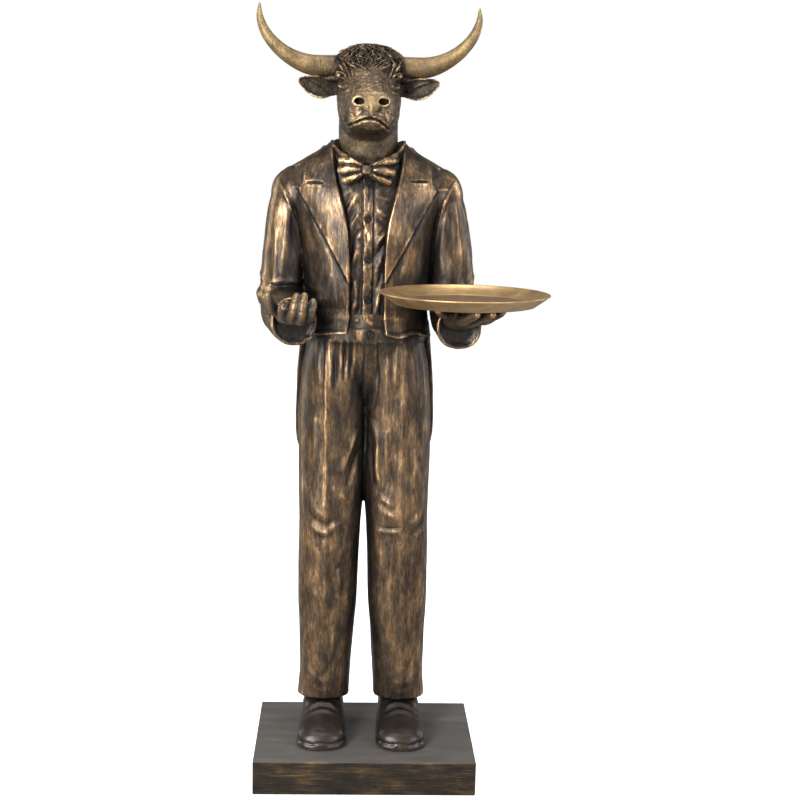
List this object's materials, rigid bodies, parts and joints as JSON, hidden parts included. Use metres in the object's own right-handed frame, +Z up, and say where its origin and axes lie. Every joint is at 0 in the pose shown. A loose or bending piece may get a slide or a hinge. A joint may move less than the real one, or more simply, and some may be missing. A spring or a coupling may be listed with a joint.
{
  "type": "bull waiter statue",
  "caption": "Standing statue of a bull in a tailcoat and bow tie on a low rectangular plinth, holding a round serving tray on its left hand",
  "frame": {"origin": "middle of the plinth's underside", "axes": "+Z up to the horns, -Y the way the figure faces, +X towards the figure's left hand and the tray"},
  "size_m": [0.2684, 0.2559, 0.7473],
  "materials": {
    "figure": "cast resin, dark bronze paint with dry-brushed copper and gold, satin; horns and nose gilt",
    "plinth": "cast resin, near-black top, sides brushed with gold, matte",
    "tray": "antique gold, brushed in rings, satin"
  },
  "bodies": {
    "root": {"figure": "figure", "plinth": "plinth", "tray": "tray"}
  },
  "joints": []
}
